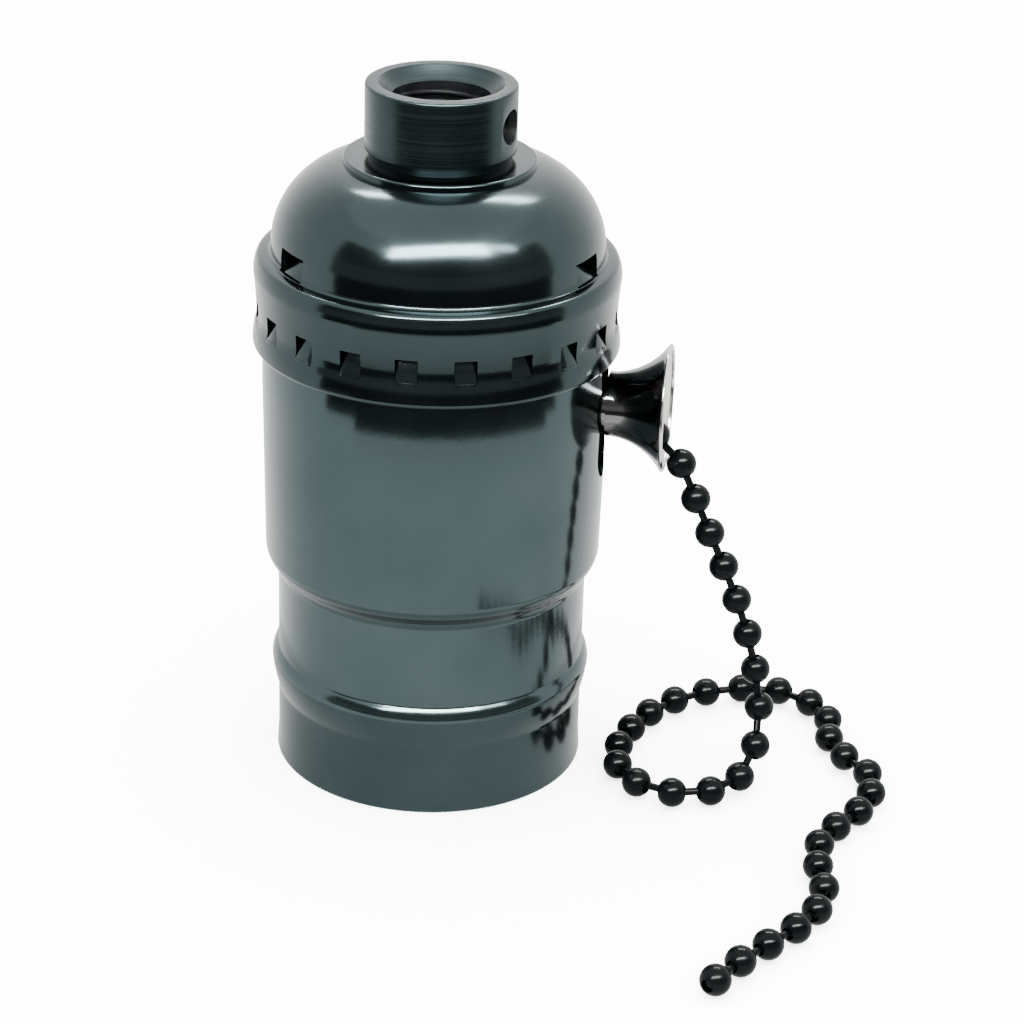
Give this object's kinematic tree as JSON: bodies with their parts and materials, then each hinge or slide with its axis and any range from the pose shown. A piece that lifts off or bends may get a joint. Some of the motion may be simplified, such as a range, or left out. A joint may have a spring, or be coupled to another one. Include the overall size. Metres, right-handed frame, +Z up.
{
  "type": "pull chain lamp socket",
  "caption": "Lamp socket with a threaded hub, domed cap with a lanced skirt, beaded tubular shell, screw thread inside, flared side bell and a long ball chain that works a rotary switch",
  "frame": {"origin": "on the socket's axis at the plane of its open mouth, which it stands on", "axes": "+Z up along the axis to the hub's threaded hole, +X out along the chain guide, +Y completes the right-handed frame"},
  "size_m": [0.0691, 0.0653, 0.0748],
  "materials": {
    "shell_paint": "satin dark slate enamel over pressed brass",
    "chain_black": "gloss black plated steel",
    "nickel": "bright nickel plate",
    "raw_brass": "plain brass",
    "thread_aluminium": "plain rolled sheet",
    "steel": "zinc plated steel",
    "fibre": "vulcanised fibre, dull brown",
    "phenolic": "moulded phenolic, dark brown",
    "switch_plastic": "moulded cream plastic"
  },
  "bodies": {
    "socket": {"outer_shell": "shell_paint", "cap": "shell_paint", "hub": "shell_paint", "set_screw": "steel", "insulating_sleeve": "fibre", "cap_liner": "fibre", "screw_shell": "thread_aluminium", "socket_base": "phenolic", "switch_housing": "phenolic", "housing_cover": "phenolic", "assembly_screws": "steel", "shell_rivets": "raw_brass", "centre_contact": "raw_brass", "contact_rivet": "raw_brass", "hot_contact": "raw_brass", "line_contact": "raw_brass", "line_terminal": "raw_brass", "neutral_terminal": "nickel", "line_screw": "raw_brass", "neutral_screw": "nickel", "switch_shaft": "steel", "return_spring": "steel", "chain_guide": "nickel", "pull_bell": "nickel"},
    "pull": {"chain_coupling": "raw_brass", "ball_chain": "chain_black"},
    "lever": {"pull_lever": "steel", "pawl": "steel"},
    "rotor": {"rotor_drum": "switch_plastic", "contact_cross": "raw_brass", "ratchet_wheel": "steel"}
  },
  "joints": [
    {"name": "chain_pull", "type": "slide", "parent": "socket", "child": "pull", "axis": [1, 0, 0], "range_m": [0, 0.008], "stiffness_N_per_m": 300, "springref_m": -0.003},
    {"name": "lever_swing", "type": "hinge", "parent": "socket", "child": "lever", "pos_m": [0.002, 0, 0.05], "axis": [0, -1, 0], "range_deg": [0, 50.5]},
    {"name": "rotor_turn", "type": "hinge", "parent": "socket", "child": "rotor", "pos_m": [0.002, 0, 0.05], "axis": [0, -1, 0], "range_deg": [0, 45]}
  ],
  "couplings": [
    {"joint": "lever_swing", "follows": "chain_pull", "rad_per_m": 109.9},
    {"joint": "rotor_turn", "follows": "chain_pull", "rad_per_m": 98.1}
  ]
}
